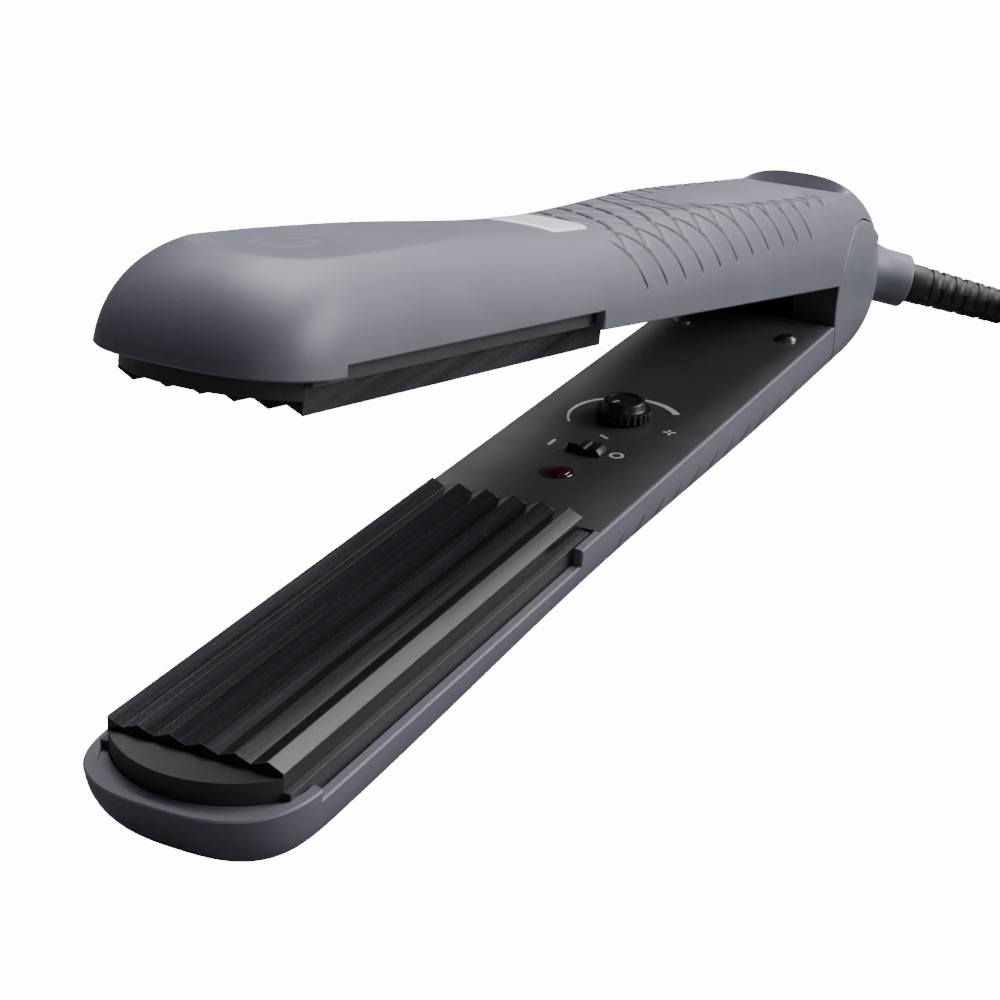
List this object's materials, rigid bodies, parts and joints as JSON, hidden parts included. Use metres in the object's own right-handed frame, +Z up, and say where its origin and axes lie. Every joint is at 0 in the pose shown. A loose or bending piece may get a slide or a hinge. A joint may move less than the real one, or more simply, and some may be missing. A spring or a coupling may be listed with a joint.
{
  "type": "hair crimper",
  "caption": "Hand-held hair crimper: two hinged arms with toothed heating plates, sprung open, dial and slide switch inside the handle, mains cord folded into a tied hank beside it.",
  "frame": {"origin": "on the table, under the middle of the object's box without the cord", "axes": "+X from the plate tips towards the hinge, +Y to the left arm side, +Z up"},
  "size_m": [0.3356, 0.1418, 0.0963],
  "materials": {
    "shell_plastic": "soft-touch satin, slate grey",
    "inner_plastic": "fine satin, charcoal",
    "holder_plastic": "heat resistant, satin",
    "plate_coating": "glossy black ceramic coating on aluminium",
    "ceramic": "white heater ceramic",
    "spring_steel": "plain",
    "zinc_screw": "black zinc",
    "hinge_plastic": "soft-touch satin, slate grey",
    "knob_plastic": "satin black",
    "lens_plastic": "dark translucent lens",
    "board": "green circuit board",
    "lead_insulation": "silicone insulation",
    "fuse_metal": "plain",
    "badge_plastic": "plain white",
    "relief_rubber": "matt black",
    "cord_rubber": "satin black",
    "plug_plastic": "matt black",
    "pin_metal": "nickel plated"
  },
  "bodies": {
    "lower_arm": {"lower_shell": "shell_plastic", "lower_inner_cover": "inner_plastic", "lower_plate_holder": "holder_plastic", "lower_crimp_plate": "plate_coating", "lower_heater": "ceramic", "lower_heater_clip": "spring_steel", "lower_cover_screws": "zinc_screw", "hinge_screws": "zinc_screw", "potentiometer_body": "knob_plastic", "switch_body": "knob_plastic", "indicator_lens": "lens_plastic", "indicator_led": "ceramic", "circuit_board": "board", "temperature_sensor": "ceramic", "lower_heater_leads": "lead_insulation", "mains_lead": "cord_rubber", "left_hinge_cover": "hinge_plastic", "right_hinge_cover": "hinge_plastic", "hinge_pin": "spring_steel", "hinge_spring": "spring_steel", "cord_collar": "hinge_plastic", "hinge_washers": "spring_steel", "strain_relief": "relief_rubber", "power_cord": "cord_rubber", "cord_coil": "cord_rubber", "cord_tail": "cord_rubber", "plug_body": "plug_plastic", "plug_pins": "pin_metal"},
    "upper_arm": {"upper_shell": "shell_plastic", "upper_inner_cover": "inner_plastic", "upper_plate_holder": "holder_plastic", "upper_crimp_plate": "plate_coating", "upper_heater": "ceramic", "upper_heater_clip": "spring_steel", "upper_cover_screws": "zinc_screw", "thermal_fuse": "fuse_metal", "upper_heater_leads": "lead_insulation", "hinge_knuckle": "inner_plastic", "badge": "badge_plastic"},
    "temperature_dial": {"temperature_knob": "knob_plastic", "knob_shaft": "spring_steel"},
    "power_switch": {"power_slider": "knob_plastic"}
  },
  "joints": [
    {"name": "arm_hinge", "type": "hinge", "parent": "lower_arm", "child": "upper_arm", "pos_m": [0.12, 0, 0.0202], "axis": [0, -1, 0], "range_deg": [0, 12.35], "stiffness_Nm_per_rad": 0.5, "springref_deg": -34.38},
    {"name": "dial_turn", "type": "hinge", "parent": "lower_arm", "child": "temperature_dial", "pos_m": [0.025, 0, 0.0174], "axis": [0, 0, 1], "range_deg": [-135, 135]},
    {"name": "switch_slide", "type": "slide", "parent": "lower_arm", "child": "power_switch", "axis": [0, 1, 0], "range_m": [0, 0.003]}
  ]
}
